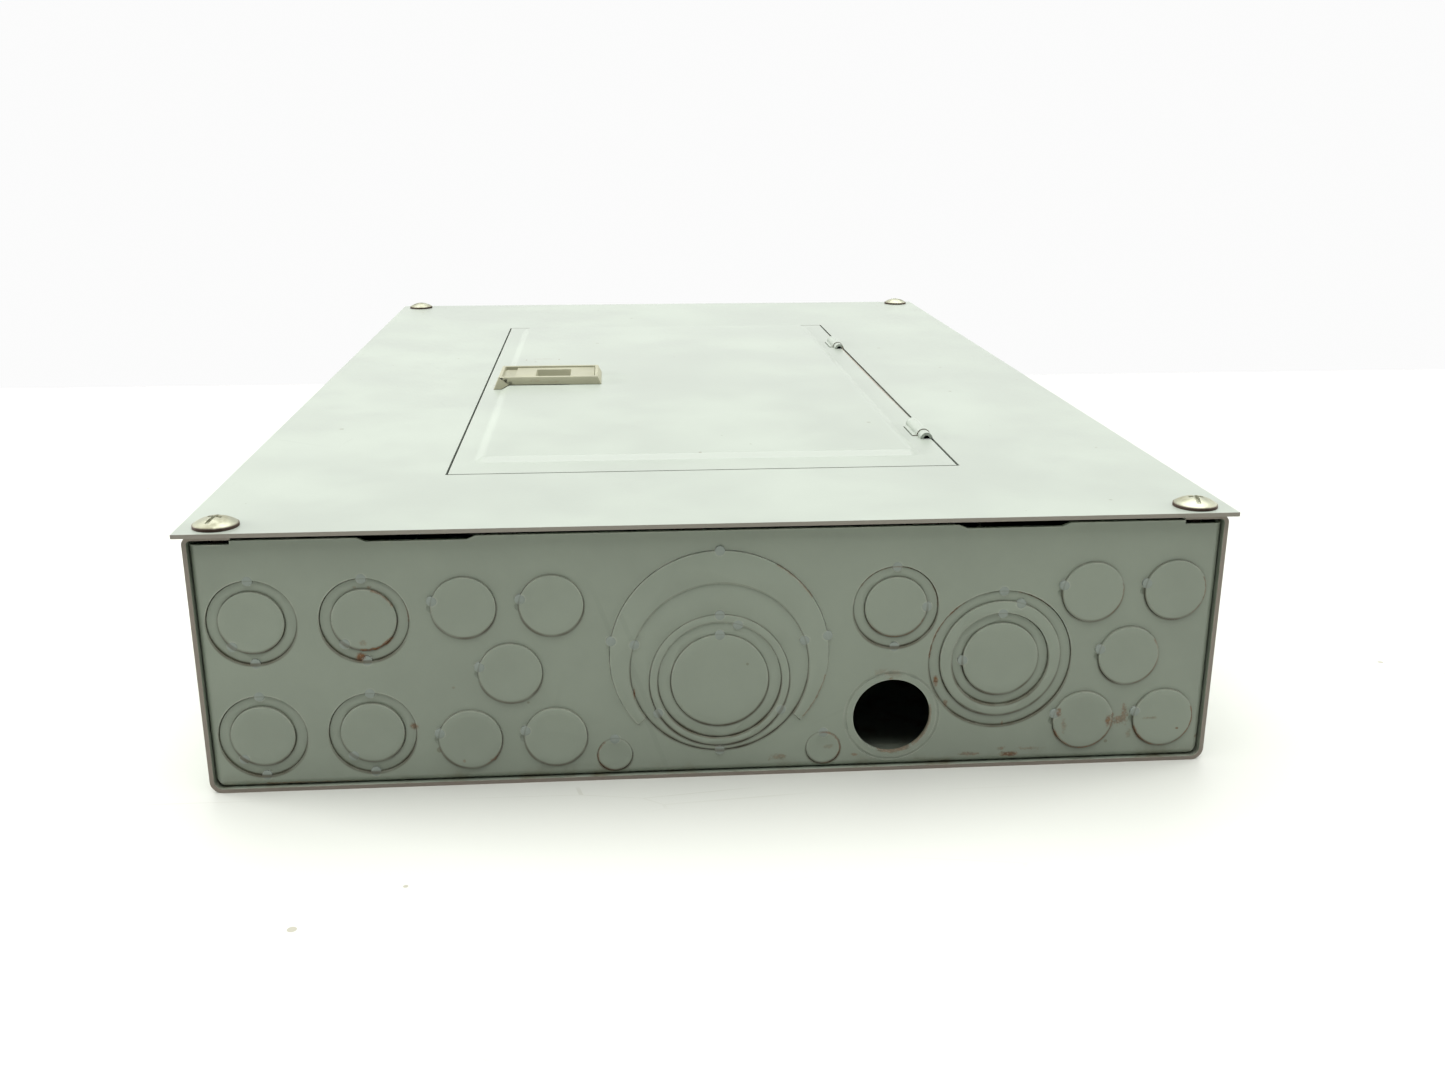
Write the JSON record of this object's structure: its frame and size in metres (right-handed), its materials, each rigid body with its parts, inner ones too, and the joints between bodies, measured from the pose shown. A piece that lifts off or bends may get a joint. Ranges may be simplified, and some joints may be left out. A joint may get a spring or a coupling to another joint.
{
  "type": "residential load center",
  "caption": "Surface-mounting breaker panel box with knockout end walls, screwed front cover, hinged latching door, dead front and a complete breaker interior.",
  "frame": {"origin": "middle of the back's outside face, directly under the middle of the whole box", "axes": "+Z out of the front cover, +Y along the box from the lower to the upper end wall, +X towards the door's hinge side"},
  "size_m": [0.367, 0.563, 0.1028],
  "materials": {
    "box_paint": "satin grey-green enamel, scuffed",
    "cover_paint": "pale grey-green enamel, satin",
    "plated_screw": "zinc-yellow plated",
    "plated_steel": "galvanised",
    "putty_plastic": "moulded, matte",
    "black_plastic": "thermoset, fine texture",
    "insulator_plastic": "red-brown thermoset",
    "bus_metal": "tin-plated",
    "lug_aluminium": "extruded",
    "green_screw": "green dyed zinc",
    "card": "uncoated card"
  },
  "bodies": {
    "enclosure": {"enclosure_wrap": "box_paint", "lower_end_wall": "box_paint", "upper_end_wall": "box_paint", "cover_plate": "cover_paint", "cover_screws": "plated_screw", "dead_front": "cover_paint", "filler_plates": "black_plastic", "interior_pan": "plated_steel", "pan_screws": "plated_screw", "mounting_rail_left": "plated_steel", "mounting_rail_right": "plated_steel", "bus_base": "insulator_plastic", "bus_bar_left": "bus_metal", "bus_bar_right": "bus_metal", "bus_screws": "plated_screw", "main_breaker_case": "black_plastic", "main_lugs": "lug_aluminium", "main_lug_screws": "plated_screw", "branch_breaker_1_case": "black_plastic", "branch_breaker_2_case": "black_plastic", "branch_breaker_3_case": "black_plastic", "branch_breaker_4_case": "black_plastic", "branch_breaker_5_case": "black_plastic", "branch_breaker_6_case": "black_plastic", "double_breaker_case": "black_plastic", "branch_terminal_screws": "plated_screw", "neutral_bar_left": "lug_aluminium", "neutral_bar_right": "lug_aluminium", "neutral_screws_left": "plated_screw", "neutral_screws_right": "plated_screw", "neutral_crossover": "lug_aluminium", "neutral_insulators": "insulator_plastic", "neutral_lug": "lug_aluminium", "neutral_lug_screw": "plated_screw", "bonding_screw": "green_screw", "ground_bar": "lug_aluminium", "ground_bar_screws": "plated_screw"},
    "door": {"door_panel": "cover_paint", "hinge_pins": "plated_steel", "latch_bezel": "putty_plastic", "directory_card": "card"},
    "latch": {"latch_slide": "putty_plastic"},
    "main_handle": {"main_breaker_handle": "black_plastic"},
    "double_handle": {"double_breaker_handle": "black_plastic"},
    "branch_handle_1": {"branch_breaker_1_handle": "black_plastic"},
    "branch_handle_2": {"branch_breaker_2_handle": "black_plastic"},
    "branch_handle_3": {"branch_breaker_3_handle": "black_plastic"},
    "branch_handle_4": {"branch_breaker_4_handle": "black_plastic"},
    "branch_handle_5": {"branch_breaker_5_handle": "black_plastic"},
    "branch_handle_6": {"branch_breaker_6_handle": "black_plastic"}
  },
  "joints": [
    {"name": "door_swing", "type": "hinge", "parent": "enclosure", "child": "door", "pos_m": [0.0982, -0.019, 0.0969], "axis": [0, 1, 0], "range_deg": [0, 165]},
    {"name": "latch_travel", "type": "slide", "parent": "door", "child": "latch", "axis": [1, 0, 0], "range_m": [-0.006, 0]},
    {"name": "main_throw", "type": "hinge", "parent": "enclosure", "child": "main_handle", "pos_m": [0, 0.098, 0.0745], "axis": [1, 0, 0], "range_deg": [0, 30]},
    {"name": "branch_throw_1", "type": "hinge", "parent": "enclosure", "child": "branch_handle_1", "pos_m": [-0.039, -0.001, 0.0745], "axis": [0, -1, 0], "range_deg": [0, 34]},
    {"name": "branch_throw_2", "type": "hinge", "parent": "enclosure", "child": "branch_handle_2", "pos_m": [-0.039, -0.0264, 0.0745], "axis": [0, -1, 0], "range_deg": [0, 34]},
    {"name": "branch_throw_3", "type": "hinge", "parent": "enclosure", "child": "branch_handle_3", "pos_m": [-0.039, -0.0518, 0.0745], "axis": [0, -1, 0], "range_deg": [0, 34]},
    {"name": "branch_throw_4", "type": "hinge", "parent": "enclosure", "child": "branch_handle_4", "pos_m": [-0.039, -0.0772, 0.0745], "axis": [0, -1, 0], "range_deg": [0, 34]},
    {"name": "branch_throw_5", "type": "hinge", "parent": "enclosure", "child": "branch_handle_5", "pos_m": [0.039, -0.001, 0.0745], "axis": [0, 1, 0], "range_deg": [0, 34]},
    {"name": "branch_throw_6", "type": "hinge", "parent": "enclosure", "child": "branch_handle_6", "pos_m": [0.039, -0.0264, 0.0745], "axis": [0, 1, 0], "range_deg": [0, 34]},
    {"name": "double_throw", "type": "hinge", "parent": "enclosure", "child": "double_handle", "pos_m": [0.039, -0.0645, 0.0745], "axis": [0, 1, 0], "range_deg": [0, 34]}
  ]
}
